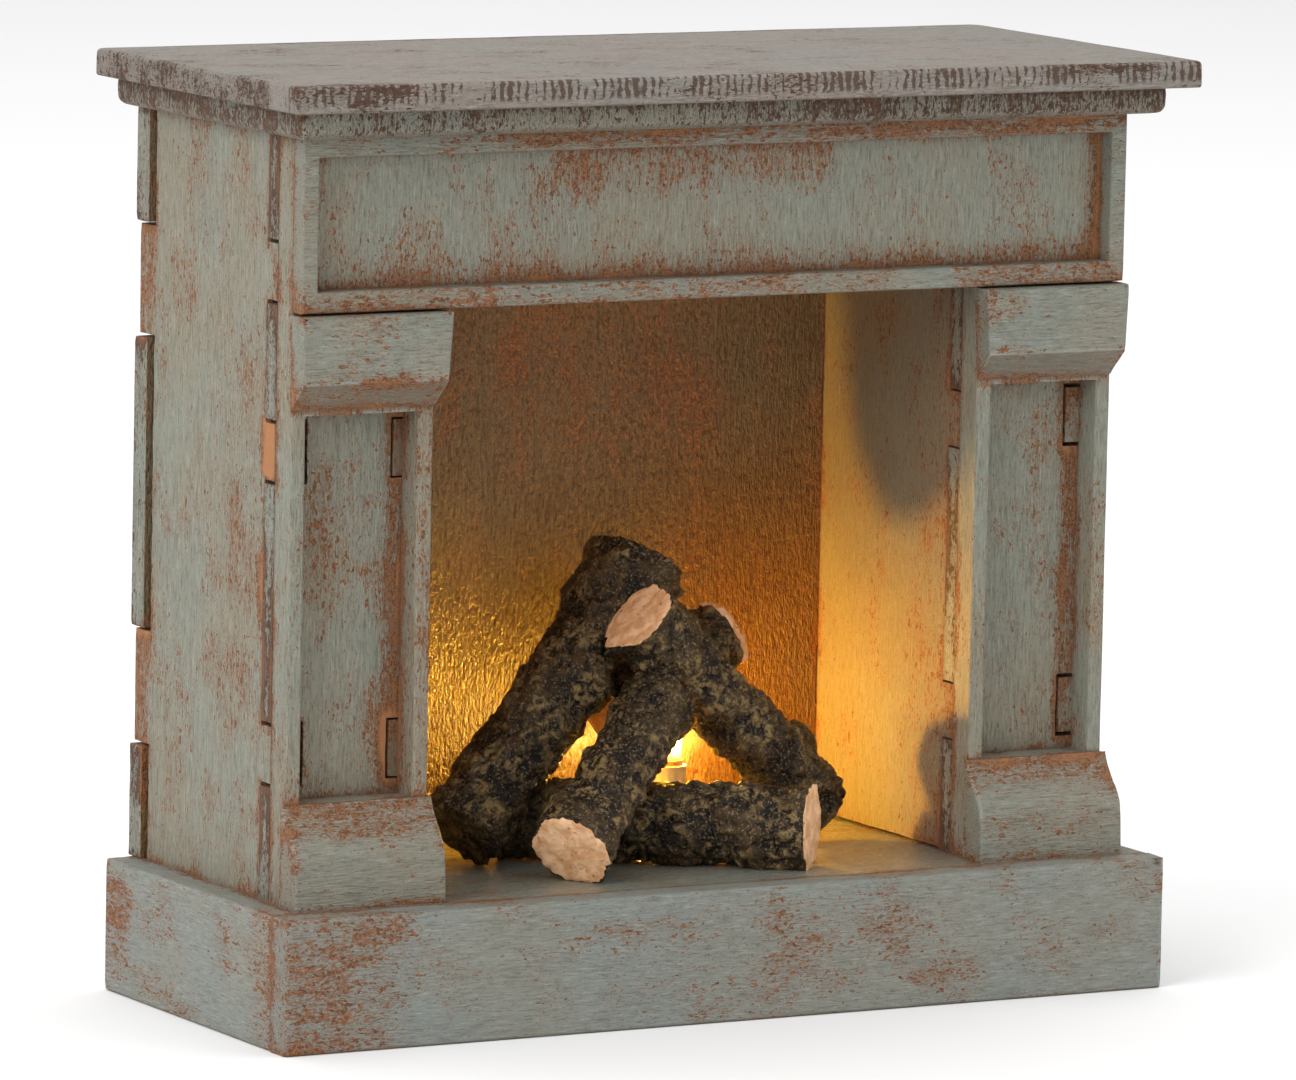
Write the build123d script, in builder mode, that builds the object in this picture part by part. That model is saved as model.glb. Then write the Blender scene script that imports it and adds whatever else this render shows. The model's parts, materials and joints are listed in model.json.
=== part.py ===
from build123d import *
import os

# Miniature fireplace mantel for a dolls' house, lit by one LED.
# Millimetres. +Z up, the opening faces -Y, origin at the centre of the footprint on the table.

# ---------------------------------------------------------------- driving dimensions
HEIGHT = 175.0
SHELF_W, SHELF_D, SHELF_T = 188.5, 82.5, 5.0
CORNICE_W, CORNICE_T = 181.0, 5.3
CORNICE_FRONT, CORNICE_BACK = -35.0, 40.0

PLINTH_W, PLINTH_H = 184.6, 24.8
PLINTH_FRONT, PLINTH_BACK = -38.2, 36.4
PLINTH_T = 6.0
BOTTOM_T = 3.0

BODY_W = 172.2
BODY_BACK = 38.0
SIDE_T = 6.0
THIN_PLY = 4.0
PLY = 5.0

PORTAL_FRONT, PORTAL_T = -24.3, 6.0
OPENING_W, OPENING_TOP = 114.2, 132.8
STILE = 3.1
FRIEZE_T, FRIEZE_RAIL = 3.7, 3.9

CAP_T, CAP_DROP = 5.2, 17.5
CAP_IN, CAP_OUT, CAP_FOOT_IN, CAP_FOOT_OUT = 1.3, 0.6, 0.2, -0.1
CAP_GAP = 0.4
BASE_T, BASE_H = 6.8, 18.6
BASE_IN, BASE_OUT = 0.8, 1.0

TAB_H, TAB_GAP = 10.4, 0.7
SLOT_GAP = 0.5
FINGER_PROUD = 0.9
WALL_LIFT = 0.5

# ---------------------------------------------------------------- derived planes
SHELF_Z = HEIGHT - SHELF_T
BODY_TOP = SHELF_Z - CORNICE_T
BODY_H = BODY_TOP - PLINTH_H
SIDE_X = BODY_W / 2
OPEN_X = OPENING_W / 2
WALL_OUT = OPEN_X + PLY
PANEL_FRONT = PORTAL_FRONT + PORTAL_T
PANEL_BACK = PANEL_FRONT + THIN_PLY
FIREBACK = BODY_BACK - PLY
HEARTH_X = PLINTH_W / 2 - PLINTH_T
HEARTH_BACK = PLINTH_BACK - PLINTH_T
HEARTH_FRONT = PLINTH_FRONT + PLINTH_T
HEARTH_UNDER = PLINTH_H - PLY

# heights of the tabs that run through the front panel and the fireback
TAB_CENTRES = [51.6, 106.7]
SIDE_TABS = TAB_CENTRES + [139.4]
# fingers of the back panel: bottom and top of each
FINGERS = [(PLINTH_H, 45.9), (68.0, 121.9), (143.3, BODY_TOP)]

SIDES = (("left", -1), ("right", 1))
ON_FLOOR = (Align.CENTER, Align.CENTER, Align.MIN)

os.makedirs("parts", exist_ok=True)


def save(part, name):
    """Label one finished piece and write it."""
    part.label = name
    export_step(part, f"parts/{name}.step")


# ================================================================ shelf and cornice
with BuildPart() as mantel_shelf:
    with BuildSketch(Plane.XY.offset(SHELF_Z)):
        RectangleRounded(SHELF_W, SHELF_D, 1.0)
    extrude(amount=SHELF_T)
    fillet(mantel_shelf.faces().sort_by(Axis.Z)[-1].edges(), 0.8)
    fillet(mantel_shelf.faces().sort_by(Axis.Z)[0].edges(), 0.5)
save(mantel_shelf.part, "mantel_shelf")

with BuildPart() as cornice_board:
    with BuildSketch(Plane.XY.offset(BODY_TOP)):
        with Locations((0, (CORNICE_FRONT + CORNICE_BACK) / 2)):
            RectangleRounded(CORNICE_W, CORNICE_BACK - CORNICE_FRONT, 1.2)
    extrude(amount=CORNICE_T)
    fillet(cornice_board.faces().sort_by(Axis.Z)[-1].edges(), 0.7)
    fillet(cornice_board.faces().sort_by(Axis.Z)[0].edges(), 1.8)
save(cornice_board.part, "cornice_board")


# ================================================================ carcass
def side_panel(sign):
    """Side panel: front tabs, and a rear edge notched for the back panel's fingers."""
    inner = sign * (SIDE_X - SIDE_T)
    with BuildPart() as panel:
        with BuildSketch(Plane.YZ.offset(inner)):
            with Locations(((PANEL_BACK + BODY_BACK) / 2, PLINTH_H + BODY_H / 2)):
                Rectangle(BODY_BACK - PANEL_BACK, BODY_H)
            for centre in SIDE_TABS:
                with Locations((PANEL_BACK - THIN_PLY / 2, centre)):
                    Rectangle(THIN_PLY, TAB_H)
            notch = PLY + 1.4
            for low, high in FINGERS:
                below = SLOT_GAP if low > PLINTH_H else 0
                above = SLOT_GAP if high < BODY_TOP else 0
                with Locations((BODY_BACK - notch / 2, (low - below + high + above) / 2)):
                    Rectangle(notch, high - low + below + above, mode=Mode.SUBTRACT)
        extrude(amount=sign * SIDE_T)
        rear = panel.edges().filter_by(Axis.Z).filter_by_position(Axis.Y, BODY_BACK - 0.1, BODY_BACK + 0.1)
        outer = rear.group_by(Axis.X)[-1 if sign > 0 else 0]
        fillet(outer, 0.6)
    return panel.part


def firebox_wall(sign):
    """Inner wall of the firebox, with two tabs forward and two tabs back."""
    with BuildPart() as wall:
        with BuildSketch(Plane.YZ.offset(sign * OPEN_X)):
            low = PLINTH_H + WALL_LIFT
            with Locations(((PANEL_BACK + FIREBACK) / 2, (low + OPENING_TOP) / 2)):
                Rectangle(FIREBACK - PANEL_BACK, OPENING_TOP - low)
            for centre in TAB_CENTRES:
                with Locations((PANEL_BACK - THIN_PLY / 2, centre)):
                    Rectangle(THIN_PLY, TAB_H)
                with Locations((FIREBACK + PLY / 2, centre)):
                    Rectangle(PLY, TAB_H)
        extrude(amount=sign * PLY)
    return wall.part


for side, sign in SIDES:
    save(side_panel(sign), f"side_panel_{side}")
    save(firebox_wall(sign), f"firebox_wall_{side}")

with BuildPart() as firebox_ceiling:
    with BuildSketch(Plane.XY.offset(OPENING_TOP)):
        with Locations((0, (PANEL_BACK + FIREBACK) / 2)):
            Rectangle(2 * WALL_OUT, FIREBACK - PANEL_BACK)
    extrude(amount=PLY)
save(firebox_ceiling.part, "firebox_ceiling")

with BuildPart() as back_panel:
    with BuildSketch(Plane.XZ.offset(-BODY_BACK)):
        with Locations((0, PLINTH_H + BODY_H / 2)):
            Rectangle(BODY_W - 2 * SIDE_T - 0.4, BODY_H)
        for low, high in FINGERS:
            with Locations((0, (low + high) / 2)):
                Rectangle(BODY_W + 2 * FINGER_PROUD, high - low)
        for centre in TAB_CENTRES:
            with Locations((-OPEN_X - PLY / 2, centre), (OPEN_X + PLY / 2, centre)):
                Rectangle(PLY + SLOT_GAP, TAB_H + TAB_GAP, mode=Mode.SUBTRACT)
    extrude(amount=PLY)
    finger_ends = back_panel.faces().filter_by(Axis.X).group_by(Axis.X)
    fillet(finger_ends[0].edges() + finger_ends[-1].edges(), 0.4)
save(back_panel.part, "back_panel")

with BuildPart() as front_panel:
    with BuildSketch(Plane.XZ.offset(-PANEL_BACK)):
        with Locations((0, PLINTH_H + BODY_H / 2)):
            Rectangle(BODY_W, BODY_H)
        with Locations((0, (PLINTH_H + OPENING_TOP) / 2)):
            Rectangle(OPENING_W, OPENING_TOP - PLINTH_H, mode=Mode.SUBTRACT)
        side_notch = SIDE_T + SLOT_GAP
        for centre in SIDE_TABS:
            for sign in (-1, 1):
                with Locations((sign * (SIDE_X - side_notch / 2), centre)):
                    Rectangle(side_notch, TAB_H + 2 * TAB_GAP, mode=Mode.SUBTRACT)
        wall_notch = PLY + SLOT_GAP
        for centre in TAB_CENTRES:
            for sign in (-1, 1):
                with Locations((sign * (OPEN_X + wall_notch / 2), centre)):
                    Rectangle(wall_notch, TAB_H + TAB_GAP, mode=Mode.SUBTRACT)
    extrude(amount=THIN_PLY)
save(front_panel.part, "front_panel")

# ================================================================ portal, frieze and pillars
WINDOW_TOP = OPENING_TOP - CAP_DROP - CAP_GAP - 1.0
WINDOW_FOOT = PLINTH_H + BASE_H
WINDOW_IN = OPEN_X + STILE
WINDOW_OUT = SIDE_X - STILE

with BuildPart() as portal_board:
    with BuildSketch(Plane.XZ.offset(-PANEL_FRONT)):
        with Locations((0, PLINTH_H + BODY_H / 2)):
            Rectangle(BODY_W - 0.2, BODY_H)
        with Locations((0, (PLINTH_H + OPENING_TOP) / 2)):
            Rectangle(OPENING_W, OPENING_TOP - PLINTH_H, mode=Mode.SUBTRACT)
        for sign in (-1, 1):
            with Locations((sign * (WINDOW_IN + WINDOW_OUT) / 2, (WINDOW_TOP + WINDOW_FOOT) / 2)):
                Rectangle(WINDOW_OUT - WINDOW_IN, WINDOW_TOP - WINDOW_FOOT, mode=Mode.SUBTRACT)
    extrude(amount=PORTAL_T)
    front_edges = portal_board.faces().sort_by(Axis.Y)[0].edges().filter_by(Axis.Z)
    fillet(front_edges, 0.5)
save(portal_board.part, "portal_board")

with BuildPart() as frieze_frame:
    with BuildSketch(Plane.XZ.offset(-PORTAL_FRONT)):
        with Locations((0, (OPENING_TOP + BODY_TOP) / 2)):
            Rectangle(BODY_W, BODY_TOP - OPENING_TOP)
            Rectangle(BODY_W - 2 * (STILE + 0.2), BODY_TOP - OPENING_TOP - 2 * FRIEZE_RAIL, mode=Mode.SUBTRACT)
    extrude(amount=FRIEZE_T)
    fillet(frieze_frame.faces().sort_by(Axis.Y)[0].edges(), 0.45)
save(frieze_frame.part, "frieze_frame")


def pillar_cap(sign):
    """Cap block: chamfered underside, and sides that draw in a little towards the foot."""
    top = OPENING_TOP - CAP_GAP
    foot = top - CAP_DROP
    slope_top = foot + CAP_T
    with BuildPart() as cap:
        with BuildSketch(Plane.YZ.offset(sign * (OPEN_X - CAP_IN))):
            with BuildLine():
                Polyline(
                    (PORTAL_FRONT, foot),
                    (PORTAL_FRONT - CAP_T, slope_top),
                    (PORTAL_FRONT - CAP_T, top),
                    (PORTAL_FRONT, top),
                    close=True,
                )
            make_face()
        extrude(amount=sign * (SIDE_X + CAP_OUT - OPEN_X + CAP_IN))
        with BuildSketch(Plane.XZ.offset(-PORTAL_FRONT)):
            with BuildLine():
                Polyline(
                    (sign * (OPEN_X - CAP_IN), top),
                    (sign * (OPEN_X - CAP_FOOT_IN), foot),
                    (sign * (SIDE_X + CAP_FOOT_OUT), foot),
                    (sign * (SIDE_X + CAP_OUT), top),
                    close=True,
                )
            make_face()
        extrude(amount=CAP_T, mode=Mode.INTERSECT)
        front = cap.faces().sort_by(Axis.Y)[0]
        fillet(front.edges(), 0.6)
    return cap.part


def pillar_base(sign):
    """Base block: slope that eases into a nearly upright face, a little wider than the shaft."""
    head = PLINTH_H + BASE_H
    knee = head - 7.4
    with BuildPart() as base:
        with BuildSketch(Plane.YZ.offset(sign * (OPEN_X - BASE_IN))):
            with BuildLine():
                Line((PORTAL_FRONT, PLINTH_H), (PORTAL_FRONT - BASE_T, PLINTH_H))
                Line((PORTAL_FRONT - BASE_T, PLINTH_H), (PORTAL_FRONT - BASE_T + 0.5, knee - 3))
                Spline(
                    (PORTAL_FRONT - BASE_T + 0.5, knee - 3),
                    (PORTAL_FRONT - BASE_T + 1.7, knee + 0.4),
                    (PORTAL_FRONT - 2.4, head - 3.6),
                    (PORTAL_FRONT - 0.5, head),
                )
                Line((PORTAL_FRONT - 0.5, head), (PORTAL_FRONT, head))
                Line((PORTAL_FRONT, head), (PORTAL_FRONT, PLINTH_H))
            make_face()
        extrude(amount=sign * (SIDE_X + BASE_OUT - OPEN_X + BASE_IN))
        cheeks = base.faces().sort_by(Axis.Y)[0].edges().filter_by(Axis.X, reverse=True)
        fillet(cheeks, 0.5)
    return base.part


for side, sign in SIDES:
    save(pillar_cap(sign), f"pillar_cap_{side}")
    save(pillar_base(sign), f"pillar_base_{side}")

# ================================================================ plinth
BOX_X, SWITCH_X, DEVICE_Z = -30.0, 30.0, 11.5
BOX_W, BOX_H, BOX_WALL = 25.0, 14.5, 1.3
FLANGE_W, FLANGE_H, FLANGE_T = 37.0, 18.4, 1.0
COVER_T = 2.0
FIT = 0.2
FRAME_W, FRAME_H, FRAME_T = 23.0, 8.0, 0.5
BEZEL_W, BEZEL_H, BEZEL_T = 25.6, 10.6, 1.4
SWITCH_W, SWITCH_H = 10.4, 6.0
COVER_SCREW_X = BOX_X + 15.6
COVER_SCREW_R, COVER_SCREW_L = 1.0, 4.2
COVER_HEAD_R, COVER_HEAD_T, COVER_HEAD_PROUD = 1.9, 1.25, 0.1
PILOT_FIT = 0.05
SWITCH_SCREW_PITCH, SWITCH_SCREW_R = 17.0, 0.9
FRAME_Y = PLINTH_BACK - 1.5
FLANGE_Y = PLINTH_BACK - COVER_T - FLANGE_T
BLOCK = 12.0
BASE_SCREW_R = 1.25
BLOCK_CENTRES = [
    (sx * (HEARTH_X - BLOCK / 2), y)
    for sx in (-1, 1)
    for y in (HEARTH_FRONT + BLOCK / 2, HEARTH_BACK - BLOCK / 2)
]
LED_X, LED_Y = 21.5, 27.2
LEAD_HOLE_R = 1.8

with BuildPart() as plinth_front:
    with BuildSketch():
        with Locations((0, (PLINTH_FRONT + HEARTH_FRONT) / 2)):
            Rectangle(PLINTH_W, PLINTH_T)
    extrude(amount=PLINTH_H)
    fillet(plinth_front.faces().sort_by(Axis.Y)[0].edges(), 0.8)
save(plinth_front.part, "plinth_front")


def plinth_side(sign):
    """End board of the plinth, butted against the back of the front board."""
    with BuildPart() as board:
        with BuildSketch(Plane.YZ.offset(sign * HEARTH_X)):
            with Locations(((HEARTH_FRONT + PLINTH_BACK) / 2, PLINTH_H / 2)):
                Rectangle(PLINTH_BACK - HEARTH_FRONT, PLINTH_H)
        extrude(amount=sign * PLINTH_T)
        outer = board.faces().sort_by(Axis.X)[-1 if sign > 0 else 0]
        fillet(outer.edges().sort_by(Axis.Y)[1:], 0.7)
    return board.part


for side, sign in SIDES:
    save(plinth_side(sign), f"plinth_side_{side}")

with BuildPart() as plinth_back:
    with BuildSketch(Plane.XZ.offset(-PLINTH_BACK)):
        with Locations((0, PLINTH_H / 2)):
            Rectangle(2 * HEARTH_X, PLINTH_H)
        with Locations((BOX_X, DEVICE_Z)):
            Rectangle(BOX_W + FIT, BOX_H + FIT, mode=Mode.SUBTRACT)
        with Locations((SWITCH_X, DEVICE_Z)):
            Rectangle(SWITCH_W + FIT, SWITCH_H + FIT, mode=Mode.SUBTRACT)
    extrude(amount=PLINTH_T)
    with BuildSketch(Plane.XZ.offset(-PLINTH_BACK)):
        with Locations((BOX_X, DEVICE_Z)):
            Rectangle(FLANGE_W + 2 * FIT, FLANGE_H + 2 * FIT)
    extrude(amount=PLINTH_BACK - FLANGE_Y, mode=Mode.SUBTRACT)
    with BuildSketch(Plane.XZ.offset(-PLINTH_BACK)):
        with Locations((SWITCH_X, DEVICE_Z)):
            Rectangle(BEZEL_W + FIT, BEZEL_H + FIT)
    extrude(amount=PLINTH_BACK - FRAME_Y, mode=Mode.SUBTRACT)
    with BuildSketch(Plane.XZ.offset(-PLINTH_BACK)):
        with Locations((COVER_SCREW_X, DEVICE_Z)):
            Circle(COVER_SCREW_R + PILOT_FIT)
        with Locations((SWITCH_X, DEVICE_Z)):
            with GridLocations(SWITCH_SCREW_PITCH, 1, 2, 1):
                Circle(SWITCH_SCREW_R)
    extrude(amount=PLINTH_T, mode=Mode.SUBTRACT)
save(plinth_back.part, "plinth_back")

with BuildPart() as hearth_board:
    with BuildSketch(Plane.XY.offset(HEARTH_UNDER)):
        with Locations((0, (HEARTH_FRONT + HEARTH_BACK) / 2)):
            Rectangle(2 * HEARTH_X, HEARTH_BACK - HEARTH_FRONT)
        with Locations((LED_X, LED_Y)):
            Circle(LEAD_HOLE_R, mode=Mode.SUBTRACT)
    extrude(amount=PLY)
save(hearth_board.part, "hearth_board")

with BuildPart() as plinth_bottom:
    with BuildSketch():
        with Locations((0, (HEARTH_FRONT + HEARTH_BACK) / 2)):
            Rectangle(2 * HEARTH_X, HEARTH_BACK - HEARTH_FRONT)
    extrude(amount=BOTTOM_T)
    with Locations(*[Location((x, y, 0), (180, 0, 0)) for x, y in BLOCK_CENTRES]):
        CounterSinkHole(BASE_SCREW_R, 2 * BASE_SCREW_R, depth=BOTTOM_T, counter_sink_angle=90)
save(plinth_bottom.part, "plinth_bottom")

SCREW_END, SCREW_POINT = 12.0, 1.5
RECESS_W = 0.5

with BuildPart() as corner_blocks:
    with BuildSketch(Plane.XY.offset(BOTTOM_T)):
        with Locations(*BLOCK_CENTRES):
            Rectangle(BLOCK, BLOCK)
            Circle(BASE_SCREW_R, mode=Mode.SUBTRACT)
    extrude(amount=HEARTH_UNDER - BOTTOM_T)
save(corner_blocks.part, "corner_blocks")

with BuildPart() as base_screws:
    with Locations(*BLOCK_CENTRES):
        Cone(2 * BASE_SCREW_R, BASE_SCREW_R, BASE_SCREW_R, align=ON_FLOOR)
        Cylinder(BASE_SCREW_R, SCREW_END - SCREW_POINT, align=ON_FLOOR)
    with Locations(*[(x, y, SCREW_END - SCREW_POINT) for x, y in BLOCK_CENTRES]):
        Cone(BASE_SCREW_R, 0.1, SCREW_POINT, align=ON_FLOOR)
    with BuildSketch():
        with Locations(*BLOCK_CENTRES):
            Rectangle(2 * BASE_SCREW_R, RECESS_W)
            Rectangle(RECESS_W, 2 * BASE_SCREW_R)
    extrude(amount=1.0, mode=Mode.SUBTRACT)
save(base_screws.part, "base_screws")

# ================================================================ logs
LOG_LEFT = ((-36.5, 0.5, 31.4), (8.4, 17.5, 76.5), 8.5)
LOG_FLOOR = ((23.9, -23.5, 32.7), (-23.5, 10.1, 32.7), 7.8)
LOG_RIGHT = ((-1.0, -0.5, 70.0), (43.6, 7.6, 30.6), 7.3)
LOG_FRONT = ((-26.2, -22.4, 31.5), (3.6, -1.5, 54.5), 7.2)
LOG_REAR = ((29.2, 21.4, 62.2), (0.0, 13.2, 50.2), 6.9)


def log(start, end, radius, neighbours):
    """Plain round log between two axis points, notched where it rests on its neighbours."""
    axis = Vector(*end) - Vector(*start)
    with BuildPart() as stick:
        with BuildSketch(Plane(origin=start, z_dir=axis)):
            Circle(radius)
        extrude(amount=axis.length)
        fillet(stick.edges().filter_by(GeomType.CIRCLE), 0.8)
        for neighbour in neighbours:
            add(neighbour, mode=Mode.SUBTRACT)
    return stick.part


log_left = log(*LOG_LEFT, [])
log_floor = log(*LOG_FLOOR, [log_left])
log_right = log(*LOG_RIGHT, [log_left, log_floor])
log_front = log(*LOG_FRONT, [log_left, log_floor, log_right])
log_rear = log(*LOG_REAR, [log_left, log_right])
save(log_left, "log_left")
save(log_floor, "log_floor")
save(log_right, "log_right")
save(log_front, "log_front")
save(log_rear, "log_rear")

# ================================================================ lamp
LED_R, LED_FLANGE_R, LED_FLANGE_T = 2.5, 2.9, 1.0
LED_BASE, LED_BODY_L = 37.0, 6.1
LEAD_PITCH, LEAD_SIZE, LEAD_END = 2.54, 0.5, 17.5
POST_R, POST_FOOT_R, POST_FOOT_T = 3.5, 5.5, 1.2

with BuildPart() as led_holder:
    with BuildSketch(Plane.XY.offset(PLINTH_H)):
        with Locations((LED_X, LED_Y)):
            Circle(POST_FOOT_R)
            Circle(LEAD_HOLE_R, mode=Mode.SUBTRACT)
    extrude(amount=POST_FOOT_T)
    with BuildSketch(Plane.XY.offset(PLINTH_H)):
        with Locations((LED_X, LED_Y)):
            Circle(POST_R)
            Circle(LEAD_HOLE_R, mode=Mode.SUBTRACT)
    extrude(amount=LED_BASE - PLINTH_H)
save(led_holder.part, "led_holder")

with BuildPart() as led:
    with Locations((LED_X, LED_Y, LED_BASE)):
        Cylinder(LED_FLANGE_R, LED_FLANGE_T, align=ON_FLOOR)
        Cylinder(LED_R, LED_BODY_L, align=ON_FLOOR)
    with Locations((LED_X, LED_Y, LED_BASE + LED_BODY_L)):
        Sphere(LED_R)
    with BuildSketch(Plane.XY.offset(LED_BASE)):
        with Locations((LED_X, LED_Y)):
            with GridLocations(LEAD_PITCH, 1, 2, 1):
                Rectangle(LEAD_SIZE, LEAD_SIZE)
    extrude(amount=LEAD_END - LED_BASE)
save(led.part, "led")

# ================================================================ battery holder
CELL_R, CELL_L, NUB_R, NUB_L = 5.25, 44.5, 1.9, 0.8
CELL_PITCH = 10.7
CELL_1_X, CELL_2_X = BOX_X - CELL_PITCH / 2, BOX_X + CELL_PITCH / 2
BOX_FRONT = -17.3
CONTACT_T, CONTACT_W = 0.4, 8.0
TAB_W, TAB_OUT = 2.0, 2.0
SPRING_L, SPRING_R, SPRING_WIRE_R = 3.5, 2.6, 0.25
BUMP_L, BUMP_R = 1.6, 1.8
COVER_Y = PLINTH_BACK - COVER_T
CONTACT_FRONT = BOX_FRONT + BOX_WALL
CONTACT_BACK = CONTACT_FRONT + CONTACT_T
BRIDGE_Y = COVER_Y - CONTACT_T
CELL_1_FOOT = CONTACT_BACK + SPRING_L
CELL_2_NUB = CONTACT_BACK + BUMP_L
MINUS_Z, PLUS_Z = 13.0, 10.0

with BuildPart() as battery_box:
    with BuildSketch(Plane.XZ.offset(-COVER_Y)):
        with Locations((BOX_X, DEVICE_Z)):
            Rectangle(BOX_W, BOX_H)
    extrude(amount=COVER_Y - BOX_FRONT)
    with BuildSketch(Plane.XZ.offset(-COVER_Y)):
        with Locations((BOX_X, DEVICE_Z)):
            Rectangle(FLANGE_W, FLANGE_H)
        with Locations((COVER_SCREW_X, DEVICE_Z)):
            Circle(COVER_SCREW_R + PILOT_FIT, mode=Mode.SUBTRACT)
    extrude(amount=FLANGE_T)
    with BuildSketch(Plane.XZ.offset(-COVER_Y)):
        with Locations((BOX_X, DEVICE_Z)):
            Rectangle(BOX_W - 2 * BOX_WALL, BOX_H - 2 * BOX_WALL)
    extrude(amount=COVER_Y - CONTACT_FRONT, mode=Mode.SUBTRACT)
    with BuildSketch(Plane.XZ.offset(-CONTACT_FRONT)):
        with Locations((CELL_1_X, MINUS_Z), (CELL_2_X, PLUS_Z)):
            Rectangle(TAB_W, CONTACT_T)
    extrude(amount=BOX_WALL, mode=Mode.SUBTRACT)
save(battery_box.part, "battery_box")


def cell(x, foot, direction):
    """AAA cell along Y: its flat end at foot, its nub pointing along direction."""
    tip = foot + direction * (CELL_L - NUB_L)
    with BuildPart() as body:
        with BuildSketch(Plane.XZ.offset(-foot)):
            with Locations((x, DEVICE_Z)):
                Circle(CELL_R)
        extrude(amount=-direction * (CELL_L - NUB_L))
        fillet(body.edges().filter_by(GeomType.CIRCLE), 0.4)
        with BuildSketch(Plane.XZ.offset(-tip)):
            with Locations((x, DEVICE_Z)):
                Circle(NUB_R)
        extrude(amount=-direction * NUB_L)
    return body.part


save(cell(CELL_1_X, CELL_1_FOOT, 1), "battery_1")
save(cell(CELL_2_X, CELL_2_NUB + CELL_L, -1), "battery_2")

with BuildPart() as front_contacts:
    with BuildSketch(Plane.XZ.offset(-CONTACT_BACK)):
        with Locations((CELL_1_X, DEVICE_Z), (CELL_2_X, DEVICE_Z)):
            Rectangle(CONTACT_W, CONTACT_W)
    extrude(amount=CONTACT_T)
    with BuildSketch(Plane.XZ.offset(-CONTACT_FRONT)):
        with Locations((CELL_1_X, MINUS_Z), (CELL_2_X, PLUS_Z)):
            Rectangle(TAB_W, CONTACT_T)
    extrude(amount=BOX_WALL + TAB_OUT)
    with BuildSketch(Plane.XZ.offset(-CONTACT_BACK)):
        with Locations((CELL_2_X, DEVICE_Z)):
            Circle(BUMP_R)
    extrude(amount=-BUMP_L)
save(front_contacts.part, "front_contacts")

with BuildPart() as bridge_contact:
    with BuildSketch(Plane.XZ.offset(-COVER_Y)):
        with Locations((BOX_X, DEVICE_Z)):
            Rectangle(CELL_PITCH + CONTACT_W, CONTACT_W)
    extrude(amount=CONTACT_T)
    with BuildSketch(Plane.XZ.offset(-BRIDGE_Y)):
        with Locations((CELL_1_X, DEVICE_Z)):
            Circle(BUMP_R)
    extrude(amount=BUMP_L)
save(bridge_contact.part, "bridge_contact")


def spring(x, low_y):
    """Contact spring of three turns, its axis along Y."""
    height = SPRING_L - 2 * SPRING_WIRE_R
    foot = (x, low_y + SPRING_WIRE_R, DEVICE_Z)
    with BuildPart() as coil:
        with BuildLine() as path:
            Helix(pitch=height / 3, height=height, radius=SPRING_R, center=foot, direction=(0, 1, 0))
        with BuildSketch(Plane(origin=path.line @ 0, z_dir=path.line % 0)):
            Circle(SPRING_WIRE_R)
        sweep(path=path.line, is_frenet=True)
    return coil.part


save(spring(CELL_1_X, CONTACT_BACK), "spring_front")
save(spring(CELL_2_X, BRIDGE_Y - SPRING_L), "spring_rear")

LIP_PITCH, LIP_W, LIP_T, LIP_DEEP = 10.8, 18.0, 0.8, 1.4
GRIP_AWAY, GRIP_PITCH, GRIP_W, GRIP_L, GRIP_DEEP = 13.5, 1.6, 0.7, 11.0, 0.4
DRIVE_L, DRIVE_W, DRIVE_DEEP = 2.4, 0.5, 0.7

with BuildPart() as battery_cover:
    with BuildSketch(Plane.XZ.offset(-PLINTH_BACK)):
        with Locations((BOX_X, DEVICE_Z)):
            RectangleRounded(FLANGE_W, FLANGE_H, 1.0)
        with Locations((COVER_SCREW_X, DEVICE_Z)):
            Circle(COVER_SCREW_R + PILOT_FIT, mode=Mode.SUBTRACT)
    extrude(amount=COVER_T)
    with BuildSketch(Plane.XZ.offset(-PLINTH_BACK)):
        with Locations((COVER_SCREW_X, DEVICE_Z)):
            Circle(COVER_HEAD_R + 3 * PILOT_FIT)
    extrude(amount=COVER_HEAD_T - PILOT_FIT, mode=Mode.SUBTRACT)
    with BuildSketch(Plane.XZ.offset(-COVER_Y)):
        with Locations((BOX_X, DEVICE_Z)):
            with GridLocations(1, LIP_PITCH, 1, 2):
                Rectangle(LIP_W, LIP_T)
    extrude(amount=LIP_DEEP)
    with BuildSketch(Plane.XZ.offset(-PLINTH_BACK)):
        with Locations((BOX_X - GRIP_AWAY, DEVICE_Z)):
            with GridLocations(GRIP_PITCH, 1, 4, 1):
                Rectangle(GRIP_W, GRIP_L)
    extrude(amount=GRIP_DEEP, mode=Mode.SUBTRACT)
save(battery_cover.part, "battery_cover")

with BuildPart() as cover_screw:
    head_face = PLINTH_BACK + COVER_HEAD_PROUD
    with BuildSketch(Plane.XZ.offset(-head_face)):
        with Locations((COVER_SCREW_X, DEVICE_Z)):
            Circle(COVER_HEAD_R)
    extrude(amount=COVER_HEAD_T)
    with BuildSketch(Plane.XZ.offset(-(head_face - COVER_HEAD_T))):
        with Locations((COVER_SCREW_X, DEVICE_Z)):
            Circle(COVER_SCREW_R)
    extrude(amount=COVER_SCREW_L)
    with BuildSketch(Plane.XZ.offset(-head_face)):
        with Locations((COVER_SCREW_X, DEVICE_Z)):
            Rectangle(DRIVE_L, DRIVE_W)
            Rectangle(DRIVE_W, DRIVE_L)
    extrude(amount=DRIVE_DEEP, mode=Mode.SUBTRACT)
save(cover_screw.part, "cover_screw")

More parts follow.
